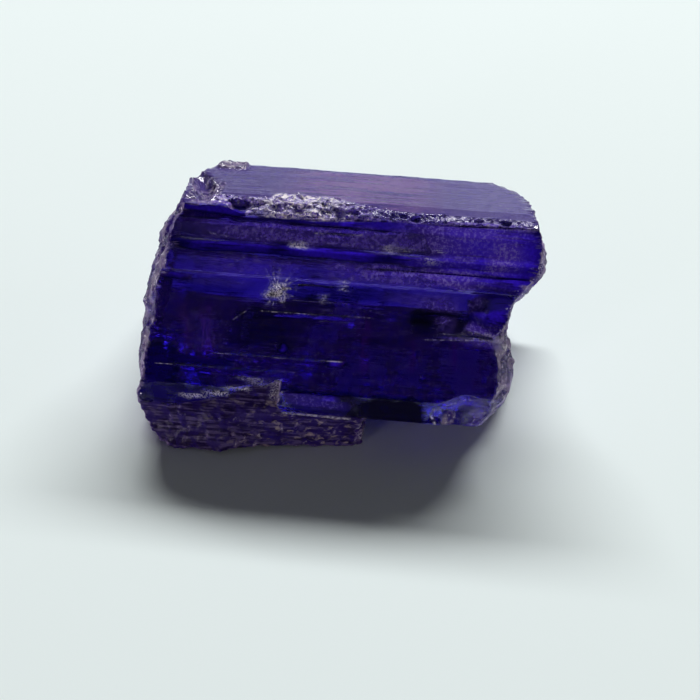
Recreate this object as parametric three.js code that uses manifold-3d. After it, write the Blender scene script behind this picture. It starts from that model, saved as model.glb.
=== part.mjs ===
// Rough tanzanite: one short, thick prism of blue-violet zoisite, broken off at both ends.
// Millimetres, +Z up, +X along the crystal. The stone rests on its flat broken underside.
//
// The broad main face leans back, so the steps of the front are laid out square to it:
// "up" runs up the main face from its foot, "inward" runs into the stone behind it.

import * as THREE from 'three';
import { mergeVertices } from 'three/addons/utils/BufferGeometryUtils.js';
import { ImprovedNoise } from 'three/addons/math/ImprovedNoise.js';
import Module from 'manifold-3d';

// ---------------------------------------------------------------- driving dimensions

const FACE_LEAN = 38;                    // degrees the main face leans back from upright
const FOOT_Y = -5.55;                    // foot of the main face
const FOOT_Z = 2.6;
const BLANK_HALF_LENGTH = 11;            // the prism before its ends break off

// Front and top of the cross-section, from the foot upward: [up, inward].
const FRONT_SECTION = [
  [0.00, 0.35],                          // foot of the lower bevel
  [0.93, 0.00],                          // lower bevel meets the main face
  [5.88, 0.15],                          // head of the main face
  [5.94, 0.00],                          // lower band stands proud of it
  [6.90, 0.10],
  [7.22, 0.28],                          // groove between the two bands
  [7.43, 0.20],
  [8.36, 0.45],                          // upper band
  [8.94, 0.35],                          // overhang below the worn ridge
  [9.29, 0.85],
  [9.65, 1.60],                          // narrow strip, then the broad top face
  [11.36, 6.05],
];

// Back and underside of the cross-section, from the top down: [y, z].
const BACK_SECTION = [
  [6.50, 6.35],
  [6.22, 6.15],                          // ledge under the back edge
  [6.38, 4.30],
  [6.02, 4.02],                          // second ledge
  [6.12, 1.70],
  [5.98, 0.00],
  [-1.80, 0.00],                         // underside bevel climbs from here to the foot
];

// Where the ends break off, going up the face: [up, x of the end, width of its worn rim].
const LEFT_END = [
  [-2.60, -7.30, 0.20],
  [-2.02, -7.82, 0.20],
  [-0.95, -9.00, 0.20],
  [-0.30, -9.22, 0.20],
  [0.42, -9.38, 0.18],
  [0.88, -9.25, 0.20],
  [1.86, -9.52, 0.50],
  [2.87, -9.51, 0.70],
  [3.95, -9.37, 0.72],
  [4.40, -9.48, 0.85],
  [5.18, -9.37, 0.70],
  [6.23, -9.15, 0.85],
  [7.02, -8.95, 0.75],
  [7.50, -9.03, 0.98],
  [8.21, -8.69, 0.85],
  [8.75, -8.38, 0.85],
  [9.30, -8.02, 0.25],
  [10.60, -8.00, 0.00],
  [12.00, -7.90, 0.00],
];
const RIGHT_END = [
  [-2.60, 5.80, 0.10],
  [0.00, 5.95, 0.20],
  [0.45, 6.45, 0.45],
  [0.85, 6.80, 0.55],
  [1.55, 7.34, 0.70],
  [2.22, 7.42, 0.70],
  [3.20, 7.30, 0.75],
  [3.78, 7.22, 0.90],
  [4.25, 7.03, 0.55],
  [4.75, 7.04, 0.20],
  [5.60, 7.08, 0.08],
  [5.95, 7.55, 0.20],
  [6.67, 8.18, 0.30],
  [7.10, 8.44, 0.40],
  [7.59, 8.52, 0.42],
  [8.34, 8.40, 0.30],
  [8.75, 8.08, 0.05],
  [9.60, 7.92, 0.00],
  [12.00, 7.80, 0.00],
];
const RIM_DEPTH = 1.2;                   // how far the worn rim reaches inward
const CORNER_FALL = [6.50, 9.60];        // up the face, where the back corners start and end

// Uneven grain of the broken surfaces: [height, waves per millimetre], coarse then fine.
const END_GRAIN = [[0.10, 1.3], [0.06, 3.1]];
const BLOCK_GRAIN = [[0.20, 0.6], [0.14, 2.1]];
const UNDERSIDE_GRAIN = [[1.0, 0.35], [0.4, 1.0]];

// How the back corners of the top fall away from those ends: [inward, fall].
const LEFT_CORNER = [
  [4.00, 0.00],
  [4.63, 0.26],
  [5.16, 0.64],
  [5.65, 0.88],
  [6.40, 1.02],
  [9.00, 1.50],
];
const RIGHT_CORNER = [
  [1.60, 0.00],
  [3.43, 0.30],
  [4.74, 0.77],
  [5.69, 1.45],
  [6.10, 2.20],
  [9.00, 3.60],
];

// Shell-shaped hollows in the two broken ends: [inward, up, depth, bowl radius].
const LEFT_HOLLOWS = [
  [3.1, 2.6, 0.55, 3.4],
  [4.3, 6.6, 0.70, 3.6],
  [7.6, 5.2, 0.60, 4.4],
  [6.4, 9.3, 0.55, 2.6],
  [2.6, 9.0, 0.30, 1.6],
  [1.9, -0.6, 0.35, 1.8],
];
const RIGHT_HOLLOWS = [
  [2.9, 7.6, 0.45, 2.4],
  [3.6, 4.4, 0.60, 3.2],
  [6.6, 7.0, 0.65, 4.2],
  [8.2, 4.6, 0.55, 3.0],
  [2.6, 1.9, 0.40, 2.0],
  [5.3, 9.6, 0.40, 2.4],
];

// The rough block grown on under the left half, and its front: [x, y at its top, y at the base].
const BLOCK_RIGHT = 0.84;
const BLOCK_TOP = 2.75;
const BLOCK_BACK = -1.2;
const BLOCK_FRONT = [
  [-9.60, -5.00, -5.10],
  [-7.80, -5.05, -5.50],
  [-6.70, -5.10, -5.66],
  [-5.30, -5.15, -5.85],
  [-4.30, -5.12, -5.47],
  [-2.80, -5.08, -5.10],
  [-1.07, -5.05, -4.72],
  [0.53, -5.00, -4.25],
  [0.84, -4.98, -4.05],
];

// Lower edge of the main face where a strip broke away over the block: [x, up].
const BITE_EDGE = [
  [-9.80, -0.45],
  [-8.30, -0.37],
  [-7.46, -0.02],
  [-6.80, 0.13],
  [-5.26, 0.51],
  [-4.30, 1.03],
  [-3.57, 1.11],
  [-2.84, 1.43],
  [-2.92, 0.20],
  [-1.30, 0.10],
  [0.60, -0.05],
  [0.60, -0.80],
  [-9.80, -0.80],
];
const BITE_FLOOR = 0.62;

// Growth layers that end part of the way along: [x from, x to, up from, up to, height of the
// step at the upper edge]. Each thins out downwards and over its last stretch at both ends.
const LAYER_SEAT = 0.03;                 // how deep its thin edges start below the face
const LAYER_TAPER = 0.9;
const GROWTH_LAYERS = [
  [-2.88, 0.28, 0.12, 0.90, 0.10],
  [-8.55, -2.25, 1.38, 1.75, 0.06],
  [-6.00, -0.20, 1.98, 2.40, 0.07],
  [3.40, 9.50, 3.32, 3.94, 0.12],
  [-4.05, 0.95, 4.10, 4.42, 0.06],
  [-2.80, -0.30, 5.46, 5.72, 0.05],
  [-0.60, 10.5, 6.28, 6.62, 0.08],
  [-1.90, 0.20, 7.82, 8.06, 0.08],
  [-10.5, 3.40, 8.06, 8.34, 0.08],
];

// Small chips along the worn ridge, largest and closest together at its left end.
const RIDGE_CHIPS = 26;
const RIDGE_CHIPS_SPAN = [-5.3, 7.2];
const RIDGE_CHIP_SIZES = [0.46, 0.24];
const RIDGE_CHIP_SHAPE = [1.3, 1.1, 0.8]; // half sizes along, inward and up, for size 1
const RIDGE_UP = 9.22;
const RIDGE_INWARD = 0.42;

// Shell-shaped chips out of the front, placed by the face: [x, up, inward], half sizes
// [along, inward, up], and a turn within the face in degrees.
const FACE_CHIPS = [
  { at: [5.55, -0.62, -1.58], half: [2.55, 2.60, 2.62], turn: -12, facets: 9 },
  { at: [7.55, -0.90, -0.75], half: [1.75, 1.85, 2.25], turn: -30, facets: 7 },
  { at: [7.75, 0.05, 0.10], half: [1.15, 1.30, 1.55], turn: -25, facets: 5 },
  { at: [4.10, 0.20, -0.25], half: [0.55, 0.62, 0.48], turn: 40, facets: 3 },
  { at: [7.30, 4.95, -1.00], half: [2.90, 1.60, 1.18], turn: -4, facets: 9 },
  { at: [5.35, 5.62, -0.42], half: [1.25, 0.60, 0.55], turn: -20, facets: 5 },
  { at: [-3.42, 5.34, -0.16], half: [0.42, 0.42, 0.30], turn: 35, facets: 2 },
  { at: [-3.05, 5.56, -0.14], half: [0.26, 0.36, 0.22], turn: -20, facets: 2 },
];

// Shell-shaped chips elsewhere: [x, y, z], half sizes [x, y, z], turns about X, then Z.
const CHIPS = [
  { at: [-7.05, 1.20, 9.95], half: [0.58, 1.60, 0.85], turnX: -8, turnZ: 6, facets: 5 },
  { at: [-7.32, 2.70, 9.28], half: [0.62, 2.35, 0.86], turnX: -17.5, turnZ: 15, facets: 4 },
  { at: [7.70, 7.30, 0.70], half: [2.10, 1.90, 1.60], turnX: 30, turnZ: 35, facets: 5 },
  { at: [-5.20, 7.55, 0.40], half: [2.60, 1.90, 1.40], turnX: 25, turnZ: -18, facets: 5 },
  { at: [-8.20, 7.10, 5.60], half: [1.30, 1.10, 1.80], turnX: 0, turnZ: 40, facets: 4 },
  { at: [2.30, 7.05, 6.30], half: [1.50, 0.75, 0.55], turnX: 10, turnZ: 8, facets: 4 },
  { at: [2.60, -3.20, -0.55], half: [2.10, 1.50, 0.95], turnX: 18, turnZ: 10, facets: 4 },
  { at: [-9.30, 0.60, -0.60], half: [1.70, 2.20, 1.10], turnX: 0, turnZ: -15, facets: 4 },
  { at: [7.60, 0.40, -0.70], half: [1.60, 2.40, 1.20], turnX: 5, turnZ: 12, facets: 4 },
];

// Faint rings and waviness on the skin of every shell-shaped chip, as shares of its size.
const SHELL_RINGS = 11;
const SHELL_RING_HEIGHT = 0.022;
const SHELL_WAVES = 0.07;

// The underside is flat in the middle, where the stone rests, and broken around it.
const REST_RADIUS = 2.8;
const UNDERSIDE_RELIEF = 0.42;

// ---------------------------------------------------------------- solids

const wasm = await Module();
wasm.setup();

const noise = new ImprovedNoise();
const lean = THREE.MathUtils.degToRad(FACE_LEAN);
const faceFrame = new THREE.Matrix4().makeRotationX(-lean).setPosition(0, FOOT_Y, FOOT_Z);

// A closed three.js geometry as a solid.
function solidOf(geometry) {
  const bare = geometry.clone();
  bare.deleteAttribute('normal');
  bare.deleteAttribute('uv');
  const merged = mergeVertices(bare, 1e-4);
  return new wasm.Manifold(new wasm.Mesh({
    numProp: 3,
    vertProperties: new Float32Array(merged.attributes.position.array),
    triVerts: new Uint32Array(merged.index.array),
  }));
}

function geometryOf(solid) {
  const mesh = solid.getMesh();
  const geometry = new THREE.BufferGeometry();
  geometry.setAttribute('position', new THREE.BufferAttribute(mesh.vertProperties, 3));
  geometry.setIndex(new THREE.BufferAttribute(mesh.triVerts, 1));
  geometry.computeVertexNormals();
  return geometry;
}

// Reads a table of rows sorted by their first number, and blends the column between rows.
function readTable(rows, key, column) {
  let next = rows.findIndex((row) => row[0] >= key);
  if (next === -1) next = rows.length - 1;
  const high = rows[next];
  const low = rows[Math.max(next - 1, 0)];
  const span = high[0] - low[0];
  const share = span > 0 ? THREE.MathUtils.clamp((key - low[0]) / span, 0, 1) : 0;
  return THREE.MathUtils.lerp(low[column], high[column], share);
}

// Uneven height at a place on a broken surface.
function grain(layers, a, b, seed) {
  return layers.reduce((sum, [height, waves], index) => (
    sum + height * noise.noise(waves * a, waves * b, seed + 7 * index)), 0);
}

// A block from min to max, with the side of one axis moved to where surface(point) says.
function shapedBlock({ min, max, segments, axis, side, surface }) {
  const low = new THREE.Vector3(...min);
  const high = new THREE.Vector3(...max);
  const size = high.clone().sub(low);
  const geometry = new THREE.BoxGeometry(size.x, size.y, size.z, ...segments);
  geometry.translate(...low.add(high).multiplyScalar(0.5));
  const limit = side > 0 ? max[axis] : min[axis];
  const position = geometry.attributes.position;
  const point = new THREE.Vector3();
  for (let i = 0; i < position.count; i += 1) {
    point.fromBufferAttribute(position, i);
    if (Math.abs(point.getComponent(axis) - limit) < 1e-4) {
      position.setComponent(i, axis, surface(point));
    }
  }
  return geometry;
}

// ---------------------------------------------------------------- the prism

function onFace(up, inward) {
  const point = new THREE.Vector3(0, inward, up).applyMatrix4(faceFrame);
  return [point.y, point.z];
}

function prism() {
  const outline = [...FRONT_SECTION.map(([up, inward]) => onFace(up, inward)), ...BACK_SECTION];
  const shape = new THREE.Shape(outline.map(([y, z]) => new THREE.Vector2(y, z)));
  const length = 2 * BLANK_HALF_LENGTH;
  const geometry = new THREE.ExtrudeGeometry(shape, { depth: length, bevelEnabled: false });
  geometry.translate(0, 0, -BLANK_HALF_LENGTH);
  // The outline was drawn as (y, z) and run along the third axis: turn that axis into X.
  geometry.applyMatrix4(new THREE.Matrix4().set(
    0, 0, 1, 0,
    1, 0, 0, 0,
    0, 1, 0, 0,
    0, 0, 0, 1,
  ));
  return solidOf(geometry);
}

// A thin wedge on the front, seated in it, so that only the step at its upper edge stands out.
function growthLayer([xFrom, xTo, upFrom, upTo, step]) {
  const geometry = shapedBlock({
    min: [xFrom, -1, upFrom],
    max: [xTo, 1, upTo],
    segments: [4, 1, 1],
    axis: 1,
    side: -1,
    surface: ({ x, z: up }) => {
      const climbed = (up - upFrom) / (upTo - upFrom);
      const fromEnds = THREE.MathUtils.clamp(Math.min(x - xFrom, xTo - x) / LAYER_TAPER, 0, 1);
      const seated = readTable(FRONT_SECTION, up, 1) + LAYER_SEAT;
      return seated - (step + LAYER_SEAT) * climbed * fromEnds;
    },
  });
  return solidOf(geometry.applyMatrix4(faceFrame));
}

// ---------------------------------------------------------------- the rough block below

function roughBlock() {
  const geometry = shapedBlock({
    min: [BLOCK_FRONT[0][0], -6, -0.5],
    max: [BLOCK_RIGHT, BLOCK_BACK, BLOCK_TOP],
    segments: [30, 1, 9],
    axis: 1,
    side: -1,
    surface: ({ x, z }) => {
      const drop = THREE.MathUtils.clamp(1 - z / BLOCK_TOP, 0, 1);
      const top = readTable(BLOCK_FRONT, x, 1);
      const base = readTable(BLOCK_FRONT, x, 2);
      const rough = THREE.MathUtils.lerp(0.4, 1, drop) * grain(BLOCK_GRAIN, x, 1.5 * z, 1.3);
      return THREE.MathUtils.lerp(top, base, drop) + rough;
    },
  });
  return solidOf(geometry);
}

// The strip of the main face that broke away above the block.
function bite() {
  const shape = new THREE.Shape(BITE_EDGE.map(([x, up]) => new THREE.Vector2(x, up)));
  const geometry = new THREE.ExtrudeGeometry(shape, { depth: BITE_FLOOR + 0.6, bevelEnabled: false });
  // Drawn as (x, up) and run outward: stand it up in the frame of the face.
  geometry.applyMatrix4(new THREE.Matrix4().makeRotationX(Math.PI / 2));
  geometry.translate(0, BITE_FLOOR, 0);
  return solidOf(geometry.applyMatrix4(faceFrame));
}

// ---------------------------------------------------------------- broken ends and chips

function brokenEnd({ table, side, corner, hollows, seed }) {
  const surface = ({ y: inward, z: up }) => {
    const end = readTable(table, up, 1);
    const rim = readTable(table, up, 2);
    const rimShare = THREE.MathUtils.clamp(1 - inward / RIM_DEPTH, 0, 1.3);
    const fallen = readTable(corner, inward, 1);
    const topShare = THREE.MathUtils.smoothstep(up, ...CORNER_FALL);
    const hollow = Math.max(0, ...hollows.map(([inwardAt, upAt, depth, radius]) => (
      depth - ((inward - inwardAt) ** 2 + (up - upAt) ** 2) / (2 * radius))));
    const cut = rim * rimShare + fallen * topShare + hollow + grain(END_GRAIN, inward, up, seed);
    return end - side * cut;
  };
  const reach = side * (BLANK_HALF_LENGTH + 2);
  const geometry = shapedBlock({
    min: [Math.min(0, reach), -1.6, -2.9],
    max: [Math.max(0, reach), 11.4, 11.9],
    segments: [1, 26, 31],
    axis: 0,
    side: -side,
    surface,
  });
  return solidOf(geometry.applyMatrix4(faceFrame));
}

// What a shell-shaped chip takes out: a squashed ball whose skin carries faint rings.
function shell({ at, half, facets }) {
  const geometry = new THREE.IcosahedronGeometry(1, facets);
  const position = geometry.attributes.position;
  const point = new THREE.Vector3();
  for (let i = 0; i < position.count; i += 1) {
    point.fromBufferAttribute(position, i);
    const fromPole = Math.acos(THREE.MathUtils.clamp(point.x, -1, 1));
    const ring = SHELL_RING_HEIGHT * Math.sin(SHELL_RINGS * fromPole);
    const wave = SHELL_WAVES * noise.noise(1.9 * point.x + at[0], 1.9 * point.y, 1.9 * point.z);
    point.multiplyScalar(1 + ring + wave);
    position.setXYZ(i, point.x, point.y, point.z);
  }
  return geometry.scale(...half);
}

function chip(spec) {
  const geometry = shell(spec);
  geometry.rotateX(THREE.MathUtils.degToRad(spec.turnX));
  geometry.rotateZ(THREE.MathUtils.degToRad(spec.turnZ));
  return solidOf(geometry.translate(...spec.at));
}

function faceChip(spec) {
  const [x, up, inward] = spec.at;
  const geometry = shell(spec);
  geometry.rotateY(THREE.MathUtils.degToRad(-spec.turn));
  geometry.translate(x, inward, up);
  return solidOf(geometry.applyMatrix4(faceFrame));
}

function ridgeChip(index) {
  const share = index / (RIDGE_CHIPS - 1);
  const chance = (row) => noise.noise(1.7 * index, row, 0.4);   // between -1 and 1
  const x = THREE.MathUtils.lerp(...RIDGE_CHIPS_SPAN, share ** 1.4) + 0.3 * chance(3.1);
  const size = THREE.MathUtils.lerp(...RIDGE_CHIP_SIZES, share) * (1 + 0.6 * chance(1.9));
  return faceChip({
    at: [x, RIDGE_UP + 0.45 * chance(0.7), RIDGE_INWARD + 0.3 * chance(5.7)],
    half: RIDGE_CHIP_SHAPE.map((half) => half * size),
    turn: 80 * chance(3.1),
    facets: 2,
  });
}

// Everything below the underside.
function ground() {
  const geometry = shapedBlock({
    min: [-12, -8, -4],
    max: [12, 8, 0],
    segments: [24, 15, 1],
    axis: 2,
    side: 1,
    surface: ({ x, y }) => {
      const away = THREE.MathUtils.smoothstep(Math.hypot(0.7 * x, y), REST_RADIUS, 2 * REST_RADIUS);
      return UNDERSIDE_RELIEF * away * Math.max(0, grain(UNDERSIDE_GRAIN, x, y, 5.5));
    },
  });
  return solidOf(geometry);
}

// ---------------------------------------------------------------- put together

function crystal() {
  let stone = prism().add(roughBlock()).subtract(bite());
  GROWTH_LAYERS.forEach((layer) => { stone = stone.add(growthLayer(layer)); });
  FACE_CHIPS.forEach((spec) => { stone = stone.subtract(faceChip(spec)); });
  CHIPS.forEach((spec) => { stone = stone.subtract(chip(spec)); });
  for (let i = 0; i < RIDGE_CHIPS; i += 1) stone = stone.subtract(ridgeChip(i));
  stone = stone.subtract(brokenEnd({
    table: LEFT_END, side: -1, corner: LEFT_CORNER, hollows: LEFT_HOLLOWS, seed: 2.4,
  }));
  stone = stone.subtract(brokenEnd({
    table: RIGHT_END, side: 1, corner: RIGHT_CORNER, hollows: RIGHT_HOLLOWS, seed: 8.6,
  }));
  return stone.subtract(ground());
}

const geometry = geometryOf(crystal());
geometry.computeBoundingBox();
const { min, max } = geometry.boundingBox;
geometry.translate(-(min.x + max.x) / 2, -(min.y + max.y) / 2, -min.z);

const stone = new THREE.Mesh(geometry, new THREE.MeshStandardMaterial({
  color: 0x24177a,
  roughness: 0.15,
  metalness: 0,
}));
stone.name = 'tanzanite_crystal';

const object = new THREE.Group();
object.add(stone);

export default object;
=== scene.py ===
# %% [markdown]
# # A rough tanzanite crystal
#
# The stone is a single short prism of blue-violet zoisite. Its front is a broad face that
# leans back, with narrower bands above it, a worn ridge, and a wide glossy face on top.
# Both ends are broken, and a rough block grew on under the left half.
#
# The solid from the frame already has every main face, ledge and chip. What is made here
# is what a jeweller sees through a loupe: fine growth lines along the crystal, the grain
# of the broken surfaces, bruised edges, dust in the hollows, and the deep clear colour.

import math

import bmesh
import bpy
from mathutils import Matrix, Vector, noise


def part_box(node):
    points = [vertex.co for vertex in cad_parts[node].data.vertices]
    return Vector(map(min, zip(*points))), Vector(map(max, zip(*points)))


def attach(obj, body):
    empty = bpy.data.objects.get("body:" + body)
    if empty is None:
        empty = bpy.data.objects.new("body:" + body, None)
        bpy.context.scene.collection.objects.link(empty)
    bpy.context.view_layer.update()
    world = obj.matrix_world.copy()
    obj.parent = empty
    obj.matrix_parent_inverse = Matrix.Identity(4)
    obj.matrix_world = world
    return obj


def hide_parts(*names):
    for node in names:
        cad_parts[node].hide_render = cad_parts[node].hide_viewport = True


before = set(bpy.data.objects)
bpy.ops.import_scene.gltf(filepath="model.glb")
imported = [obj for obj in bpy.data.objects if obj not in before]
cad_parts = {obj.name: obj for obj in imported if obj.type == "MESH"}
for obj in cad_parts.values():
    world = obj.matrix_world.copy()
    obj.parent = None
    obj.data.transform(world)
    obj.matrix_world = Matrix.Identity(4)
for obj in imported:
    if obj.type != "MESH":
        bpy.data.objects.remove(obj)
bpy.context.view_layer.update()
scene = bpy.context.scene
MM = 0.001
noise.seed_set(11)       # without a seed, vector noise differs from run to run
low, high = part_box("tanzanite_crystal")
print("solid", [round(size / MM, 2) for size in high - low], "mm")

# %% [markdown]
# ## A ruler for the front of the stone
#
# Nearly everything that is seen sits on the leaning front, so places are given square to
# it, as in the solid: `along` the crystal from the foot's middle, `up` the main face from
# its foot, and `inward` behind it. One matrix turns a point in metres into those three
# numbers in millimetres, and its inverse brings a place on the face back to the frame.

# %% The face's own axes
FACE_LEAN = math.radians(38)
FOOT_FROM_LOW = Vector((9.557, 0.266, 2.6)) * MM    # foot of the main face, from the low corner
foot = low + FOOT_FROM_LOW
to_face = (Matrix.Scale(1 / MM, 4) @ Matrix.Rotation(FACE_LEAN, 4, "X")
           @ Matrix.Translation(-foot))
from_face = to_face.inverted()


def on_face(along, up, inward=0.0):
    """The point of the frame, in metres, at a place on the front given in millimetres."""
    return from_face @ Vector((along, inward, up))


print("foot of the main face", [round(value / MM, 2) for value in on_face(0, 0)])

# %% [markdown]
# ## Where each kind of surface lies
#
# Five kinds of surface need their own grain: the broken ends, the rough block with the
# bite above it, the large chip and the small ledge at the left of the top, and the worn
# ridge. They could be picked by hand as vertex groups, but the splitting below makes tens
# of thousands of new points. So each gets a function, which says how much a place belongs
# to it, from 0 to 1, with soft borders so that no seam shows.

# %% Soft steps, and which way a surface faces
def ramp(value, start, end):
    """0 up to start, 1 from end on, and a smooth rise between them."""
    share = min(max((value - start) / (end - start), 0.0), 1.0)
    return share * share * (3 - 2 * share)


def window(value, start, end, soft):
    """1 between start and end, fading to 0 over soft outside them."""
    return ramp(value, start - soft, start) * (1 - ramp(value, end, end + soft))


def brokenness(normal):
    """1 on both broken ends, which face along the crystal."""
    return ramp(abs(normal.x), 0.35, 0.70)


def facing_up(normal):
    return ramp(normal.z, 0.80, 0.90)


def facing_down(normal):
    return ramp(-normal.z, 0.5, 0.8)


def facing_back(normal):
    return ramp(normal.y, 0.4, 0.7)


print("a step from 0 to 1:", [round(ramp(value / 4, 0, 1), 2) for value in range(5)])

# %% Where the block, the chip, the ledge and the ridge lie
BLOCK_END = 1.0          # right end of the block under the main face, mm
BITE_END = -2.7          # right end of the bite above it
RIDGE = (8.65, 9.75)     # the worn ridge, up the main face
RIDGE_ENDS = (-6.3, 7.6)


def blockness(place):
    """1 on the rough block below the main face and in the bite above it."""
    along, inward, up = place
    below = 1 - ramp(up, -0.10, 0.10) if along < BLOCK_END else 0.0
    bite = window(up, -0.5, 1.45, 0.05) * ramp(inward, 0.42, 0.55) if along < BITE_END else 0.0
    return max(below, bite) * (1 - ramp(inward, 3.0, 5.0))


def chipness(place):
    """1 in the large chip at the left end of the top."""
    along, inward, up = place
    return (window(along, -7.7, -6.4, 0.15) * window(inward, -0.5, 3.0, 0.3)
            * window(up, 9.1, 11.0, 0.2))


def ledgeness(place):
    """1 on the small rough ledge at the back left corner of the top."""
    along, inward, up = place
    return window(along, -7.05, -5.80, 0.10) * ramp(up, 11.02, 11.10) * ramp(inward, 5.0, 5.3)


def ridgeness(place):
    """1 on the worn ridge: a broad bruised stretch, narrower at the left end and the right."""
    along, inward, up = place
    right, left = ramp(along, -2.0, 2.0), 1 - ramp(along, -5.15, -5.00)
    lowest = RIDGE[0] + 0.20 * right + 0.45 * left
    highest = RIDGE[1] - 0.50 * right - 0.30 * (1 - ramp(along, -4.20, -3.80))
    front = 1 - ramp(inward, 2.2, 2.6)
    return window(up, lowest, highest, 0.10) * window(along, *RIDGE_ENDS, 0.5) * front


print("the ridge's middle counts as ridge:", ridgeness((0, 1, sum(RIDGE) / 2)))

# %% [markdown]
# ## A finer skin for the stone
#
# The solid's faces are large flat triangles, too coarse to carry growth lines. A voxel
# remesh would round the ledges, which are only hundredths of a millimetre high, and
# splitting every edge at once leaves slivers. So each round splits only the longest edges,
# and never two of one triangle. In the first rounds the edges inside a flat face are also
# turned, which breaks up the long thin triangles of the solid. Growth lines run along the
# crystal, so an edge that runs the same way may stay four times as long as one that
# crosses them.

# %% Split the longest edges of a merged copy
LONGEST = 0.15           # longest edge across the growth lines, mm
ALONG_COUNTS = 0.24      # how much a length along the crystal counts on a growth face
BROKEN_COUNTS = 0.85     # and on a broken surface, whose grain has no direction
HIDDEN_COUNTS = 0.60     # everything counts less on the back and the underside
RIDGE_COUNTS = 1.60      # and more on the ridge, for its many small chips
ROUNDS, TURNING_ROUNDS = 11, 6
FLAT = math.radians(0.1)  # faces that meet under this angle lie in one plane
SAME_POINT = 0.0005 * MM
ON_RIDGE, ON_BLOCK, ON_GROWTH_FACE = 2, 1, 0     # an edge has the higher zone of its ends
BELONGS = 0.3            # from this share on, a point counts as part of a surface

crystal_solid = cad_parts["tanzanite_crystal"]
skin = bmesh.new()
skin.from_mesh(crystal_solid.data)
bmesh.ops.remove_doubles(skin, verts=skin.verts, dist=SAME_POINT)
bmesh.ops.dissolve_degenerate(skin, edges=skin.edges, dist=SAME_POINT)
bmesh.ops.triangulate(skin, faces=skin.faces)


def zone_of(point):
    """The zone of a point; the chip and the small ledge count as ridge."""
    place = to_face @ point.co
    if max(ridgeness(place), chipness(place), ledgeness(place)) > BELONGS:
        return ON_RIDGE
    return ON_BLOCK if blockness(place) > BELONGS else ON_GROWTH_FACE


def counted_length(edge, zone):
    """Length in millimetres, with a step along the crystal counted as its surface needs."""
    step = (edge.verts[1].co - edge.verts[0].co) / MM
    normals = [face.normal for face in edge.link_faces]
    rough = zone != ON_GROWTH_FACE or any(abs(normal.x) > 0.3 for normal in normals)
    along_counts = BROKEN_COUNTS if rough else ALONG_COUNTS
    length = math.hypot(along_counts * step.x, step.y, step.z)
    hidden = all(normal.y > 0.5 or normal.z < -0.8 for normal in normals)
    return length * (HIDDEN_COUNTS if hidden else RIDGE_COUNTS if zone == ON_RIDGE else 1.0)


zones = {}
for turn in range(ROUNDS):
    if turn < TURNING_ROUNDS:
        inner = [edge for edge in skin.edges if edge.calc_face_angle(1) < FLAT]
        bmesh.ops.beautify_fill(skin, faces=skin.faces, edges=inner, method="ANGLE")
    skin.normal_update()
    skin.faces.index_update()
    zones.update((point, zone_of(point)) for point in skin.verts if point not in zones)
    waiting = []
    for edge in skin.edges:
        length = counted_length(edge, max(zones[point] for point in edge.verts))
        if length > LONGEST:
            waiting.append((length, edge))
    waiting.sort(key=lambda pair: pair[0], reverse=True)
    taken, chosen = set(), []
    for _, edge in waiting:
        beside = [face.index for face in edge.link_faces]
        if not taken.intersection(beside):
            taken.update(beside)
            chosen.append(edge)
    bmesh.ops.subdivide_edges(skin, edges=chosen, cuts=1, use_single_edge=True)
print("skin", len(skin.verts), "points,", len(skin.faces), "triangles,",
      sum(not edge.is_manifold for edge in skin.edges), "open edges")

# %% [markdown]
# ## Growth lines and broken grain
#
# Zoisite grows in long steps, so its faces carry fine lines that run along the crystal,
# and it breaks in shells, with a grainy, flaky surface. A bump map only tilts the shading:
# it can't notch the outline of a broken end, or let one flake stand in front of the next.
# So both are relief here. Each point of the skin moves along its normal, a hundredth of a
# millimetre or two for a growth line and up to two tenths for a flake. Noise that is
# stretched along the crystal gives the lines. Flakes come from a Voronoi pattern: each cell
# leans its own way. Where the grain is rough, a light smoothing then takes the thorns off.

# %% Heights of growth lines, grain and flakes
LINE_STRETCH = 0.05      # growth lines change this much slower along the crystal than across
FLAKE_PITCH = 0.34       # on the ends, the block and the crumpled stretch of the ridge, mm
CHIP_PITCH = 0.24        # on the rest of the ridge
CRUMPLED = (-3.5, -0.9)  # that stretch, along the crystal
LEDGE_RISE = 0.13        # how far the small ledge stands up


def flakes(place, pitch):
    """Height of small flat flakes that lean at random, for a pattern of that pitch in mm."""
    spot = place / pitch
    centre = noise.voronoi(spot)[1][0]
    lean = noise.noise_vector(centre * 7.3)
    return pitch * (spot - centre).dot(lean)


def relief(place, normal):
    """How far a point moves outwards, in millimetres."""
    along, inward, up = place
    rough = brokenness(normal)
    block = blockness(place) * (1 - rough)
    ledge = ledgeness(place) * ramp(normal.z, 0.5, 0.7)
    ridge = max(ridgeness(place), 0.7 * chipness(place), 0.7 * ledge) * (1 - rough)
    hidden = max(facing_back(normal), facing_down(normal)) * (1 - rough)
    stretched = Vector((LINE_STRETCH * along, inward, up))
    lines = (0.011 * noise.noise(stretched * 2.3)
             + 0.007 * noise.noise(stretched * 5.3 + Vector((9, 0, 0))))
    lines *= (1 - rough) * (1 - block) * (1 - 0.7 * facing_up(normal))
    height = lines + LEDGE_RISE * ledge
    grainy = 0.8 * rough + block + 0.15 * hidden
    if grainy > 0:
        grain = (0.05 * noise.fractal(place * 1.6, 1.0, 2.0, 4)
                 + (0.85 - 0.35 * block) * flakes(place, FLAKE_PITCH))
        height += grainy * grain
    if block > 0:
        height += block * 0.035 * noise.noise(Vector((0.3 * along, 1.5 * inward, 6.0 * up)))
    if ridge > 0:
        crumpled = window(along, *CRUMPLED, 0.5)
        height += ridge * ((1 - crumpled) * flakes(place, CHIP_PITCH)
                           + crumpled * flakes(place, FLAKE_PITCH))
    if hidden > 0:
        upright = Vector((1.5 * along, 0.25 * inward, 0.25 * up))
        height += hidden * (0.030 * noise.noise(upright) + 0.010 * noise.noise(upright * 2.9))
    return height


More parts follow.
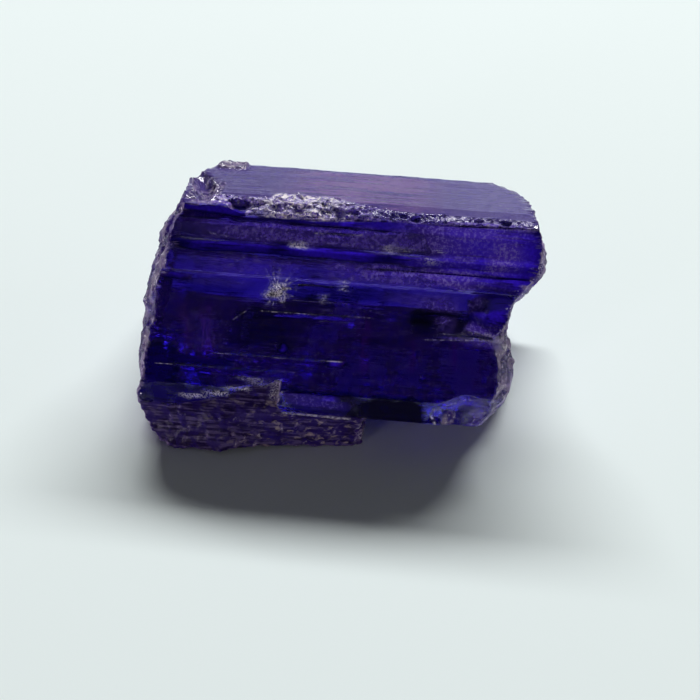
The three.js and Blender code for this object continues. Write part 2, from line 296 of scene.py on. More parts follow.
print("a growth line and a flake:", round(relief(Vector((0, 0, 4)), Vector((0, -1, 0))), 4),
      round(relief(Vector((9, 1, 4)), Vector((1, 0, 0))), 4), "mm")

# %% Move the points of the skin
SMOOTHING = 0.4          # how far a rough point moves to the middle of its neighbours

skin.normal_update()
moves = [(point, relief(to_face @ point.co, point.normal)) for point in skin.verts]
broken = [point for point in skin.verts
          if max(brokenness(point.normal), blockness(to_face @ point.co)) > 0.5]
for point, height in moves:
    point.co += point.normal * height * MM
bmesh.ops.smooth_vert(skin, verts=broken, factor=SMOOTHING,
                      use_axis_x=True, use_axis_y=True, use_axis_z=True)
print("relief from", round(min(height for _, height in moves), 3), "to",
      round(max(height for _, height in moves), 3), "mm,", len(broken), "points smoothed")

# %% [markdown]
# ## What the surface carries
#
# Dust and bruises are not raised, they change how the surface scatters light. They could
# be painted on an image, but an image ties the stone to one resolution. So their places are
# kept as numbers on the points of the mesh: they follow the stone, and the material adds
# the fine speckle that is smaller than the triangles. Each row is a soft patch: its middle
# along and up the face, its half length and half height in millimetres, and its strength.

# %% Places of dust and bruises
DUST_PATCHES = [
    (2.2, 6.42, 4.2, 0.50, 0.85),
    (-4.6, 6.35, 3.4, 0.50, 0.50),
    (-1.2, 7.90, 7.4, 0.50, 0.85),
    (3.8, 7.60, 1.6, 0.70, 0.40),
    (6.6, 7.60, 0.8, 0.80, 0.80),
    (3.6, 5.45, 2.2, 0.45, 0.45),
    (-6.0, 5.70, 1.6, 0.35, 0.35),
    (4.9, 3.90, 1.0, 0.14, 0.80),
    (6.0, 4.05, 1.0, 0.60, 0.65),
    (6.3, 0.55, 0.9, 0.70, 0.30),
    (4.8, 8.50, 2.8, 0.36, 0.65),
    (4.3, 4.40, 0.5, 0.45, 0.50),
    (-6.5, 3.50, 1.0, 1.00, 0.30),
    (5.95, 0.38, 0.45, 0.50, 0.60),
    (5.3, 1.05, 0.8, 0.20, 0.30),
    (-1.3, 0.60, 1.6, 0.30, 0.18),
]
BRUISES = [              # crushed spots that show white
    (-3.35, 5.40, 0.45, 0.36, 1.00),
    (-3.05, 5.05, 0.22, 0.20, 0.80),
    (-3.75, 5.15, 0.24, 0.22, 0.70),
    (-2.47, 7.45, 0.42, 0.18, 0.90),
    (1.39, 7.57, 0.28, 0.20, 0.75),
    (2.24, 7.50, 0.25, 0.18, 0.70),
    (-0.38, 5.79, 0.14, 0.30, 0.85),
    (-1.27, 5.18, 0.14, 0.22, 0.65),
    (3.33, 7.14, 0.20, 0.16, 0.60),
    (3.73, 7.70, 0.20, 0.16, 0.60),
    (-3.10, 0.95, 0.25, 0.50, 0.32),
    (-6.70, 0.42, 0.60, 0.10, 0.50),
    (-5.70, 0.60, 0.60, 0.12, 0.55),
    (-4.80, 0.90, 0.60, 0.12, 0.55),
    (-3.90, 1.18, 0.50, 0.12, 0.50),
    (6.30, 0.50, 1.00, 0.80, 0.20),
    (-4.10, 1.35, 0.70, 0.12, 0.55),
    (5.80, 4.00, 1.00, 0.20, 0.42),
]
print(len(DUST_PATCHES), "dusty patches,", len(BRUISES), "bruises")

# %% [markdown]
# ## Colour zones, painted light and painted shade
#
# A tanzanite shows several colours at once: saturated blue where the light comes straight
# through, violet bars, and inky places where it is lost inside. The saturated blue is painted
# light and the inky places are painted shade. They could be bodies within the glass, but
# those would have to be placed by trial behind a face that bends the view. So they are
# patches at the surface too, and fixed to the place where they are seen.

# %% Places of painted blue light, violet and painted shade
# Painted light: saturated blue where light comes through the stone, a dark blue where weak.
BLUE_LIGHT_ZONES = [
    (6.0, 7.50, 3.0, 1.50, 0.92),
    (6.3, 5.00, 1.1, 0.90, 0.85),
    (-5.6, 7.15, 2.9, 0.26, 0.68),
    (-1.0, 7.15, 2.8, 0.26, 0.92),
    (3.4, 7.12, 2.8, 0.24, 0.80),
    (-6.6, 8.90, 2.0, 0.34, 0.55),
    (0.9, 8.62, 5.4, 0.28, 0.60),
    (6.0, 8.75, 1.9, 0.30, 0.75),
    (-7.0, 0.40, 2.8, 0.62, 0.31),
    (-8.6, 1.30, 1.0, 1.40, 0.30),
    (0.6, 0.40, 3.7, 0.68, 0.34),
    (-1.3, 0.45, 1.7, 0.60, 0.37),
    (4.9, 0.30, 0.6, 0.50, 0.42),
    (-0.56, 8.66, 0.28, 0.26, 1.00),
    (-0.50, 2.31, 0.35, 0.14, 0.90),
    (-2.86, 2.83, 0.16, 0.20, 0.80),
    (-6.39, 0.46, 0.35, 0.10, 0.60),
    (-0.60, 0.79, 0.50, 0.14, 0.70),
    (-7.9, 5.70, 0.7, 0.16, 0.60),
    (-6.5, 2.00, 2.0, 0.20, 0.35),
]
VIOLET_BARS = [
    (-7.3, 3.50, 0.40, 1.20, 0.40),
    (-6.4, 3.50, 0.45, 1.30, 0.60),
    (-0.30, 3.50, 0.35, 1.30, 0.45),
    (0.60, 3.20, 0.40, 1.40, 0.50),
    (3.00, 3.10, 0.40, 1.00, 0.45),
    (4.95, 3.00, 0.35, 0.80, 0.55),
    (5.90, 2.60, 0.45, 1.00, 0.50),
]
# Painted shade: dark where light is lost inside, and on the lower bevel over the floor's reflection.
PAINTED_SHADE_PLACES = [
    (2.05, 0.36, 1.75, 0.56, 1.00),
    (1.5, 5.45, 5.5, 0.35, 0.28),
    (-5.8, 5.40, 2.3, 0.35, 0.24),
    (-3.6, 0.40, 0.5, 0.40, 0.80),
    (3.8, 5.00, 1.0, 0.70, 0.40),
    (-3.9, 3.60, 1.8, 1.00, 0.07),
    (-6.9, 1.20, 1.0, 0.70, 0.07),
    (4.2, 4.30, 1.7, 0.60, 0.09),
]
print(len(BLUE_LIGHT_ZONES), "blue zones,", len(VIOLET_BARS), "violet bars,", len(PAINTED_SHADE_PLACES), "inky places")

# %% How strong the patches are at one place
PATCH_DEPTH = 1.8        # how far behind the main face the patches reach, mm
WANDER_SCALE = 1.1       # waves to the millimetre in the outlines of the patches
WANDER_ALONG, WANDER_UP = 0.8, 0.2      # how far the outlines wander, mm
FADE_ALONG = (0.35, 1.25)               # a patch fades between these shares of its half length
FADE_UP = (0.60, 1.15)                  # and of its half height


def patches(place, rows):
    """The strongest patch at a place on the front, with a wandering outline."""
    along, inward, up = place
    if inward > PATCH_DEPTH:
        return 0.0
    wander = noise.noise_vector(place * WANDER_SCALE)
    strongest = 0.0
    for at, height, half_length, half_height, strength in rows:
        swing, lift = min(0.45, WANDER_ALONG / half_length), min(0.35, WANDER_UP / half_height)
        across = abs((along - at) / half_length + swing * wander.x)
        above = abs((up - height) / half_height + lift * wander.z)
        share = (1 - ramp(across, *FADE_ALONG)) * (1 - ramp(above, *FADE_UP))
        strongest = max(strongest, strength * share)
    return strongest * (1 - ramp(inward, 0.6 * PATCH_DEPTH, PATCH_DEPTH))


middle_of_first = Vector((DUST_PATCHES[0][0], 0, DUST_PATCHES[0][1]))
print("dust in the middle of the first patch:", round(patches(middle_of_first, DUST_PATCHES), 2))

# %% Paint the layers
TOP_EDGE = (9.0, 9.3)    # between these heights up the face the painted sheen of the top begins, mm


def layer_values(place, normal):
    """What each layer holds at a point of the skin."""
    rough, block, ridge = brokenness(normal), blockness(place), ridgeness(place)
    wavering = 0.5 + 0.5 * noise.noise(place * 0.9)
    crushed = ridge * (0.12 + 0.30 * window(place.x, -4.6, -0.8, 0.8))
    return {
        "dust": max(patches(place, DUST_PATCHES), 0.30 * rough * wavering,
                    0.60 * facing_back(normal) * wavering),
        "bruise": max(patches(place, BRUISES), crushed),
        "grain": max(rough, 0.5 * chipness(place), 0.7 * ledgeness(place)),
        "ridge": ridge,
        # painted sheen: the top face lighter where it catches the light from behind
        "top_sheen": facing_up(normal) * ramp(place.z, *TOP_EDGE) * (1 - rough),
        # painted light: the blue that comes through the stone
        "blue_light": patches(place, BLUE_LIGHT_ZONES),
        "violet": patches(place, VIOLET_BARS),
        # painted shade where light is lost inside
        "painted_shade": patches(place, PAINTED_SHADE_PLACES),
        "block": block,
        # painted shade on the faces that look down
        "underside_shade": facing_down(normal) * (1 - block),
    }


names = layer_values(Vector(), Vector((0, -1, 0)))
layers = {name: skin.verts.layers.float.new(name) for name in names}
for point in skin.verts:
    for name, value in layer_values(to_face @ point.co, point.normal).items():
        point[layers[name]] = value
print("layers", ", ".join(layers))

# %% [markdown]
# ## The piece itself
#
# One closed mesh stands for the solid. Shaded flat, its broad faces would show every
# triangle, and shaded smooth, the flakes would melt. So all is smooth but the edges that
# turn by more than 30 degrees: they stay crisp, and flakes still glint one by one.

# %% Make the stone's object
CRISP = math.radians(30)

stone_mesh = bpy.data.meshes.new("stone skin")
skin.to_mesh(stone_mesh)
skin.free()
stone_mesh.shade_smooth()
stone_mesh.set_sharp_from_angle(angle=CRISP)
stone = bpy.data.objects.new("tanzanite_stone", stone_mesh)
scene.collection.objects.link(stone)
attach(stone, "root")
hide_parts("tanzanite_crystal")
print(stone.name, "has", len(stone_mesh.polygons), "triangles")

# %% [markdown]
# ## Shader arithmetic
#
# A mask is easier to read as a formula than as a web of nodes. `Wire` wraps the output of
# a node, and each operator on it adds one Math node. Every other node comes from `node`,
# which takes the node's type, its settings, and the values or links of its sockets.

# %% A socket that can be used in a formula
class Wire:
    """The output socket of a shader node, used like a number."""

    def __init__(self, socket):
        self.socket = socket

    def node(self, kind, settings=None, inputs=None, output=0):
        """Adds a node to the same tree: settings first, then values or links by socket."""
        tree = self.socket.id_data
        made = tree.nodes.new("ShaderNode" + kind)
        for name, value in (settings or {}).items():
            setattr(made, name, value)
        for name, value in (inputs or {}).items():
            if isinstance(value, Wire):
                tree.links.new(value.socket, made.inputs[name])
            else:
                made.inputs[name].default_value = value
        return Wire(made.outputs[output])

    def maths(self, operation, first, second=0.0):
        return self.node("Math", {"operation": operation}, {0: first, 1: second})

    def __add__(self, other):
        return self.maths("ADD", self, other)

    def __radd__(self, other):
        return self.maths("ADD", other, self)

    def __sub__(self, other):
        return self.maths("SUBTRACT", self, other)

    def __rsub__(self, other):
        return self.maths("SUBTRACT", other, self)

    def __mul__(self, other):
        return self.maths("MULTIPLY", self, other)

    def __rmul__(self, other):
        return self.maths("MULTIPLY", other, self)

    def __abs__(self):
        return self.maths("ABSOLUTE", self)

    def least(self, other):
        return self.maths("MINIMUM", self, other)

    def most(self, other):
        return self.maths("MAXIMUM", self, other)

    def rise(self, start, end):
        """0 up to start, 1 from end on, with a smooth step between."""
        return self.node("MapRange", {"interpolation_type": "SMOOTHSTEP"},
                         {"Value": self, "From Min": start, "From Max": end})

    def blend(self, first, second):
        """A colour between two others, with this as the share of the second."""
        return self.node("Mix", {"data_type": "RGBA"}, {0: self, 6: first, 7: second}, output=2)


def start_material(name):
    """A new material, its output node, and its object coordinates."""
    material = bpy.data.materials.new(name)
    material.use_nodes = True
    tree = material.node_tree
    tree.nodes.clear()
    ending = tree.nodes.new("ShaderNodeOutputMaterial")
    spot = tree.nodes.new("ShaderNodeTexCoord").outputs["Object"]
    return material, ending, Wire(spot)


print("a Wire adds nodes in", sum(map(callable, vars(Wire).values())) - 1, "ways")

# %% [markdown]
# ## Clear violet-blue glass with dust and painted light and shade on it
#
# Tanzanite is clear, and its colour is a property of its inside: light loses its green and
# most of its red on the way through. A coloured surface would be the same blue everywhere.
# So the colour is an absorption in the volume, and thin corners come out brighter and
# bluer than the thick middle by themselves. On the surface there is a second, dull finish
# for dust and crushed chips, and for painted light and shade, mixed in by a mask. All masks
# work in millimetres on the face's own axes.

# %% Start the stone's material
INDEX = 1.69                            # of refraction
LET_THROUGH = (0.27, 0.09, 0.79, 1.0)   # a high value is absorbed little
DENSITY = 560.0                         # of the absorption, per metre

material, ending, spot = start_material("tanzanite")
to_millimetres = spot.node("Mapping", {"vector_type": "POINT"}, {
    "Vector": spot,
    "Location": Matrix.Rotation(FACE_LEAN, 4, "X") @ (-foot / MM),
    "Rotation": (FACE_LEAN, 0, 0),
    "Scale": (1 / MM, 1 / MM, 1 / MM),
})


def attribute(name):
    return spot.node("Attribute", {"attribute_name": name}, output=2)


def vector(operation, first, second, output=0):
    return spot.node("VectorMath", {"operation": operation}, {0: first, 1: second}, output)


def length_of(way):
    return spot.node("VectorMath", {"operation": "LENGTH"}, {0: way}, output=1)


face_along, face_inward, face_up = (
    spot.node("SeparateXYZ", {}, {0: to_millimetres}, output=axis) for axis in range(3))
print("axes of the face:", len(material.node_tree.nodes), "nodes")

# %% Noise to the millimetre, and tones of flakes
def speckle(scale, detail=3.0, stretch=(1, 1, 1)):
    """Soft noise with that many grains to the millimetre."""
    return spot.node("TexNoise", {}, {
        "Vector": vector("MULTIPLY", to_millimetres, stretch), "Scale": scale, "Detail": detail})


def chips(scale):
    """One even random number for each flake, with outlines that wander a little."""
    warp = spot.node("TexNoise", {}, {"Vector": to_millimetres, "Scale": 2 * scale}, output=1)
    warped = vector("ADD", to_millimetres, vector("MULTIPLY", warp, (0.5 / scale,) * 3))
    tone = spot.node("TexVoronoi", {}, {"Vector": warped, "Scale": scale}, output="Color")
    return spot.node("SeparateColor", {}, {0: tone})


fine, finest, coarse = speckle(7.0), speckle(15.0, detail=2.0), speckle(2.2)
streaks = speckle(9.0, stretch=(0.06, 1, 1))
threads = 1 - abs(speckle(3.2, stretch=(0.7, 1, 1)) - 0.5).rise(0.004, 0.030)
large_chips, small_chips = chips(2.6), chips(6.0)
chip_tone = 0.45 * large_chips + 0.55 * small_chips
# Painted glints: where a small flake's random number is high it turns white, as if it mirrored a lamp.
painted_glints = (small_chips * fine).rise(0.47, 0.57)
print("shared patterns:", len(material.node_tree.nodes), "nodes")

# %% Read the layers of the mesh
dust, bruise, ridge = attribute("dust"), attribute("bruise"), attribute("ridge")
top_sheen, block, underside_shade = attribute("top_sheen"), attribute("block"), attribute("underside_shade")
blue_light, violet, painted_shade = attribute("blue_light"), attribute("violet"), attribute("painted_shade")
ends = attribute("grain")
grainy = ends.most(block).most(ridge).least(1.0)
print("layers read:", len(material.node_tree.nodes), "nodes")

# %% [markdown]
# ## Scratches
#
# Fine straight scratches run along the growth lines, and a few cross them. Cut into the
# mesh, they would need far smaller triangles. So each is a line between two places on the
# front, and the distance of a point from that line, seen squarely to the main face, gives
# its mask. Two marks aren't strokes but go around a middle: the crushed star, whose rays
# come from noise on the direction, and the broken shells at the lower right corner, whose
# ridges come from the distance.

# %% Places of the scratches
# Start along and up, end along and up, and width, all in millimetres, then strength.
SCRATCHES = [
    (-4.02, 4.39, -1.60, 4.43, 0.050, 0.90),
    (-1.70, 4.42, 0.93, 4.47, 0.040, 0.75),
    (-5.96, 2.37, -3.30, 2.40, 0.035, 0.60),
    (-3.20, 2.38, -0.20, 2.42, 0.045, 0.85),
    (-8.51, 1.72, -5.20, 1.76, 0.035, 0.65),
    (-5.00, 1.77, -2.24, 1.79, 0.030, 0.45),
    (-2.78, 5.69, -0.33, 5.75, 0.035, 0.60),
    (-2.60, 4.98, -0.20, 5.00, 0.030, 0.45),
    (-1.40, 4.15, 0.60, 4.20, 0.030, 0.35),
    (-1.89, 8.03, 0.19, 8.10, 0.050, 0.70),
    (-5.23, 3.89, -4.64, 4.34, 0.045, 0.60),
    (-4.81, 4.82, -4.35, 5.26, 0.040, 0.50),
    (-5.60, 6.30, -4.90, 6.70, 0.035, 0.40),
    (3.39, 3.69, 6.38, 3.88, 0.050, 0.60),
    (4.20, 4.02, 5.60, 3.92, 0.070, 0.90),
    (-2.70, -0.04, 0.30, -0.10, 0.090, 0.55),
    (-6.60, 7.70, -5.70, 7.60, 0.060, 0.35),
    (3.93, 0.36, 4.12, -0.06, 0.130, 1.00),
    (3.89, 0.53, 4.65, 0.91, 0.050, 0.60),
    (4.65, 0.91, 5.44, 1.20, 0.060, 0.55),
    (5.44, 1.20, 6.99, 1.12, 0.060, 0.60),
    (3.94, 0.48, 5.20, 0.95, 0.040, 0.40),
]
STAR_MIDDLE, STAR_REACH = (-3.35, 5.40), 1.15
SHELL_MIDDLE, SHELL_REACH = (6.90, -0.40), 1.7
SHELL_STEP = 0.30                       # between the ridges of the shells
SCRATCH_DEPTH = 1.5                     # how far behind the main face they still show
print(len(SCRATCHES), "scratches")

# %% Draw the scratches
flat_place = vector("MULTIPLY", to_millimetres, (1, 0, 1))
shallow = 1 - face_inward.rise(SCRATCH_DEPTH - 0.3, SCRATCH_DEPTH)


def scratch(row):
    """1 on a straight scratch, 0 beside it."""
    along, up, end_along, end_up, width, strength = row
    run = Vector((end_along - along, 0, end_up - up))
    away = vector("SUBTRACT", flat_place, (along, 0, up))
    share = spot.node("Math", {"operation": "MULTIPLY", "use_clamp": True},
                      {0: vector("DOT_PRODUCT", away, run, 1), 1: 1 / run.length_squared})
    beside = vector("SUBTRACT", away, vector("MULTIPLY", share, run))
    return strength * (1 - length_of(beside).rise(0.25 * width, 0.8 * width))


scratch_mask = scratch(SCRATCHES[0])
for row in SCRATCHES[1:]:
    scratch_mask = scratch_mask.most(scratch(row))
print("scratches drawn:", len(material.node_tree.nodes), "nodes")


# %% Add the star and the shells
def away_from(middle):
    """The way from a middle on the front to the point."""
    return vector("SUBTRACT", flat_place, (middle[0], 0, middle[1]))


from_star = away_from(STAR_MIDDLE)
heading = spot.node("VectorMath", {"operation": "NORMALIZE"}, {0: from_star})
rays = spot.node("TexNoise", {}, {"Vector": heading, "Scale": 3.4, "Detail": 2.0}).rise(0.50, 0.57)
scratch_mask = scratch_mask.most(rays * (1 - length_of(from_star).rise(0.30, STAR_REACH)))
reach = length_of(away_from(SHELL_MIDDLE))
shells = spot.maths("PINGPONG", reach + 0.12 * coarse, 0.5 * SHELL_STEP)
shells = shells.rise(0.35 * SHELL_STEP, 0.48 * SHELL_STEP)
shells = shells * (1 - reach.rise(SHELL_REACH - 0.2, SHELL_REACH))
scratch_mask = scratch_mask.most(0.6 * shells)
scratch_mask = scratch_mask * shallow * (0.18 + 0.64 * fine.rise(0.42, 0.60))
print("star and shells added:", len(material.node_tree.nodes), "nodes")

# %% [markdown]
# ## Dust and bruises
#
# Dust lies in the growth lines of the two upper bands, and knocks have crushed the crystal
# to white powder in spots. Both scatter light where the clear face lets it in, so each is a
# mask and a colour of one dull finish, which comes last. The layer of the mesh says where,
# noise breaks it into specks, and thin winding threads join them.

# %% Masks of dust and bruises
DUST = (0.125, 0.06, 0.60, 1)
WHITE_DUST = (0.34, 0.26, 0.72, 1)
CRUSHED = (0.90, 0.86, 0.88, 1)

speck = finest.rise(0.46, 0.60)
dust_mask = dust * (0.60 + 0.30 * coarse.rise(0.35, 0.65) + 0.30 * fine.rise(0.40, 0.60))
white_mask = dust * (fine.rise(0.52, 0.63) * (0.4 + 0.6 * speck)).most(threads * speck)
bruise_mask = bruise * finest.rise(0.42, 0.54)
print("dust and bruises:", len(material.node_tree.nodes), "nodes")

# %% [markdown]
# ## Painted blue light, violet and painted shade
#
# The painted blue light runs from a dark to a bright blue as its strength grows, so its
# borders fade like light in depth. The violet bars stand upright and are broken up by noise
# that is stretched the same way. The underside gets a dark tone of painted shade.

# %% Masks of the painted light, the violet bars and the painted shade
# The blue light through the stone is painted: dark blue where weak, bright where strong.
DARK_BLUE, FLASH_BLUE = (0.005, 0.001, 0.10, 1), (0.050, 0.014, 0.80, 1)
VIOLET = (0.065, 0.008, 0.34, 1)
# Painted shade: near black for the inky places, a dark violet grey for the underside.
PAINTED_SHADE_COLOUR = (0.0015, 0.0006, 0.014, 1)
UNDERSIDE_SHADE = (0.03, 0.02, 0.07, 1)

blue_light_share = (blue_light * (0.5 + coarse)).rise(0.02, 0.34)
blue_light_colour = (blue_light * (0.55 + 0.6 * fine)).rise(0.25, 0.95).blend(DARK_BLUE, FLASH_BLUE)
violet_mask = violet * speckle(5.0, stretch=(1, 1, 0.12)).rise(0.38, 0.62)
# painted shade on the underside, broken up by noise
underside_shade_mask = underside_shade * (0.62 + 0.6 * coarse.rise(0.40, 0.60))
print("colour zones:", len(material.node_tree.nodes), "nodes")

# %% [markdown]
# ## Wear on the clear faces, and painted shade in the furrows
#
# A face that looks clean still has pin pricks, hair scratches and furrows between the
# growth lines, and the furrows are painted dark as shade. There are thousands, so they are
# noise, stretched along the crystal, with only the highest tops let through. A little even
# glow stands for the light that fine bubbles and veils inside send back.

# %% Masks of wear, and the painted shade of the furrows
GLOW = 0.14              # share of the light that the clear stone itself scatters back
GLOW_BLUE, WORN_BLUE = (0.05, 0.004, 0.55, 1), (0.20, 0.15, 0.52, 1)
# painted shade in the furrows between the growth lines
FURROW_SHADE = (0.004, 0.001, 0.04, 1)

scratches = speckle(12.0, detail=1.0, stretch=(0.05, 1, 1)).rise(0.62, 0.70)
pins = speckle(13.0, detail=0.0).rise(0.70, 0.76)
wear_mask = (0.14 * pins).most(0.08 * scratches * coarse.rise(0.3, 0.6))
wear_mask = wear_mask.most(0.06 * threads * coarse.rise(0.45, 0.60))
# painted shade in the furrows, kept off grainy surfaces
furrow_shade = speckle(6.0, stretch=(0.09, 1, 1)).rise(0.56, 0.64) * (1 - grainy)
print("wear:", len(material.node_tree.nodes), "nodes")

# %% [markdown]
# ## The top's painted sheen
#
# The top face catches the light from behind, and its many shallow growth lines spread it to
# a lilac sheen. A rougher glass would also dim what is seen through it, so the sheen is
# painted into the dull finish: paler to the right, rosy in the middle, with short dark dashes
# and a dark line along the far edge.

# %% Masks and colours of the top's painted sheen
BACK_EDGE = 11.34        # the far edge of the top, up the face, mm
# Colours of the painted sheen; the dashes and the far edge are dark breaks in it.
SHEEN_LEFT, SHEEN_RIGHT = (0.070, 0.038, 0.24, 1), (0.125, 0.095, 0.32, 1)
SHEEN_ROSY = (0.19, 0.10, 0.32, 1)
DASH = (0.05, 0.03, 0.26, 1)

dashes = top_sheen * speckle(10.0, detail=1.0, stretch=(0.22, 1, 1)).rise(0.58, 0.68)
rosy = (face_along.rise(-4.5, -2.0) * (1 - face_along.rise(1.5, 4.5))
        * speckle(2.5, detail=2.0, stretch=(0.15, 1, 1)).rise(0.30, 0.60))
sheen_colour = rosy.blend(face_along.rise(1.5, 6.0).blend(SHEEN_LEFT, SHEEN_RIGHT), SHEEN_ROSY)
back_edge = top_sheen * face_up.rise(BACK_EDGE - 0.12, BACK_EDGE - 0.04)
print("top:", len(material.node_tree.nodes), "nodes")

# %% [markdown]
# ## Broken ends and worn ridge
#
# A break leaves flakes that each face their own way, so each catches the light its own way,
# and a few mirror a lamp. The relief gives the large ones. On top of it each flake gets a
# painted tone of light or shade from one random number per cell, and where that is high the
# small ones turn white, a painted glint. The ridge has the same flakes in violet. Its broadest
# stretch is crumpled, with white folds painted as glints, and to the right it fades.

# %% Colours of the flakes: painted light, shade and glints
# Dark and pale give each flake a painted tone of light or shade; the white glints are painted
# highlights.
FLAKE_DARK, FLAKE_PALE = (0.04, 0.016, 0.11, 1), (0.29, 0.22, 0.31, 1)
RIDGE_DARK, RIDGE_PALE = (0.03, 0.006, 0.27, 1), (0.22, 0.12, 0.60, 1)
PAINTED_FLAKE_GLINT, PAINTED_RIDGE_GLINT = (0.90, 0.83, 0.84, 1), (0.90, 0.82, 0.84, 1)

painted_flake_shading = (0.4 * chip_tone + 0.4 * large_chips + 0.2 * coarse).rise(0.30, 0.66)
flake_glints_and_streaks = painted_glints.most(0.7 * threads * coarse.rise(0.45, 0.60))
flake_colour = flake_glints_and_streaks.blend(painted_flake_shading.blend(FLAKE_DARK, FLAKE_PALE), PAINTED_FLAKE_GLINT)
# Painted glints along the folds of the crumpled stretch of the ridge.
glinting_folds = 1 - abs(speckle(2.4, detail=1.0) - 0.5).rise(0.010, 0.045)
glinting_folds = glinting_folds * face_along.rise(-4.6, -3.6) * (1 - face_along.rise(-1.6, -0.6))
fading = 1 - 0.7 * face_along.rise(-1.5, 2.0)
ridge_colour = (fading * chip_tone.rise(0.35, 0.65)).blend(RIDGE_DARK, RIDGE_PALE)
ridge_colour = (fading * painted_glints.most(glinting_folds)).blend(ridge_colour, PAINTED_RIDGE_GLINT)
print("flakes:", len(material.node_tree.nodes), "nodes")

# %% [markdown]
# ## The rough block
#
# The block is darker rock that grew on: thin sheets that lie along the crystal, dark stains
# and a tan crust that thickens to the right. Three noises stand for the three, and each one
# is laid over the last.

# %% Colours of the block
SHEET_DARK, SHEET_PALE = (0.014, 0.007, 0.045, 1), (0.085, 0.062, 0.16, 1)
STAIN = (0.020, 0.009, 0.10, 1)
TAN_CRUST = (0.44, 0.36, 0.32, 1)

crust = speckle(4.0, detail=4.0, stretch=(0.55, 1, 1)).rise(0.54, 0.68)
crust = crust * face_along.rise(-8.5, 1.0)
sheets = speckle(5.0, detail=3.0, stretch=(0.10, 1, 1.6)).rise(0.44, 0.62)
rock_colour = sheets.blend(SHEET_DARK, SHEET_PALE)
rock_colour = (0.8 * coarse.rise(0.46, 0.58)).blend(rock_colour, STAIN)
rock_colour = (crust * (0.2 + 0.8 * chip_tone)).least(1.0).blend(rock_colour, TAN_CRUST)
print("block:", len(material.node_tree.nodes), "nodes")

# %% [markdown]
# ## Lay the dull layers over each other
#
# All layers share one dull finish: dust, bruises and wear, and also painted light and
# shade. Its share of the surface is the strongest mask at each place. Its colour starts from
# the glow, and each layer then covers the ones before it, so the later a layer comes, the
# more it lies on top.

# %% How much of the surface is dull
dull_share = (0.70 * dust_mask).most(0.60 * white_mask).most(0.94 * bruise_mask)
dull_share = dull_share.most(0.96 * blue_light_share).most(0.75 * violet_mask).most(wear_mask + GLOW)
dull_share = dull_share.most(painted_shade.rise(0.0, 0.6)).most(0.62 * top_sheen).most(0.7 * dashes)
dull_share = dull_share.most(0.22 * furrow_shade * (1 - top_sheen))
dull_share = dull_share.most(0.95 * block).most(0.85 * underside_shade_mask).most(scratch_mask)
dull_share = dull_share.most(ends * (0.50 + 0.45 * chip_tone))
dull_share = dull_share.most(ridge * (0.60 + 0.35 * glinting_folds)).least(0.98)
print("dull share:", len(material.node_tree.nodes), "nodes")

# %% And in which colour
dull_colour = (8.0 * wear_mask).least(1.0).blend(GLOW_BLUE, WORN_BLUE)
# Painted light: blue light, top sheen, glints; painted shade: furrows, inky places, underside.
for mask, colour in (
        (6.0 * blue_light_share, blue_light_colour),
        (0.7 * furrow_shade, FURROW_SHADE),
        (3.0 * violet_mask, VIOLET),
        (8.0 * painted_shade, PAINTED_SHADE_COLOUR),
        (top_sheen, sheen_colour),
        (dashes.most(back_edge), DASH),
        (underside_shade_mask, UNDERSIDE_SHADE),
        (block, rock_colour),
        (ends, flake_colour),
        (ridge, ridge_colour),
        (dust_mask, DUST),
        (white_mask, WHITE_DUST),
        (bruise_mask.most(scratch_mask), CRUSHED)):
    dull_colour = mask.least(1.0).blend(dull_colour, colour)
print("dull colour:", len(material.node_tree.nodes), "nodes")

# %% [markdown]
# ## The two finishes
#
# The clear finish lets light in and bends it. Inside, the volume takes away the green and
# most of the red. A fine ripple stands for growth lines too thin for the mesh. The dull
# finish covers it by the share worked out above, as one opaque powder, because powder so
# thin has no inside to look into. The painted light and shade are part of this dull finish.

# %% Join the finishes
RIPPLE_DEPTH = 0.03 * MM

ripple = spot.node("Bump", {}, {
    "Strength": 0.35, "Distance": RIPPLE_DEPTH, "Height": streaks + 1.5 * grainy * fine,
})
clear_finish = spot.node("BsdfPrincipled", {}, {
    "Base Color": (1, 1, 1, 1),
    "Roughness": 0.03 + 0.20 * grainy + 0.30 * dust_mask.least(1.0),
    "IOR": INDEX,
    "Transmission Weight": 1.0,
    "Normal": ripple,
})
dull_finish = spot.node("BsdfPrincipled", {}, {
    "Base Color": dull_colour,
    "Roughness": 0.42,
    "Specular IOR Level": 0.02,
    "Normal": ripple,
})
surface = spot.node("MixShader", {}, {0: dull_share, 1: clear_finish, 2: dull_finish})
inside = spot.node("VolumeAbsorption", {}, {"Color": LET_THROUGH, "Density": DENSITY})
material.node_tree.links.new(surface.socket, ending.inputs["Surface"])
material.node_tree.links.new(inside.socket, ending.inputs["Volume"])
stone_mesh.materials.clear()
stone_mesh.materials.append(material)
print("material", material.name, "with", len(material.node_tree.nodes), "nodes")

# %% [markdown]
# ## Camera
#
# The camera looks down at the main face almost squarely. It could be turned by a constraint,
# but then its place would have to be found by trial. Here the place follows from where the
# middle of the foot should show in a square picture, and how far away the camera stands.

# %% Set up the camera
AZIMUTH = math.radians(4.3)
ELEVATION = math.radians(38)
ROLL = math.radians(1.9)
LENS, SENSOR = 100.0, 36.0     # mm
PICTURE = 700                  # pixels, square
FOOT_SHOWS_AT = (342, 417)     # pixels from the left and from the top
STAND_OFF = 86 * MM            # from the foot to the camera, along its view
NEAR, FAR = 1 * MM, 10         # nothing nearer or farther is drawn

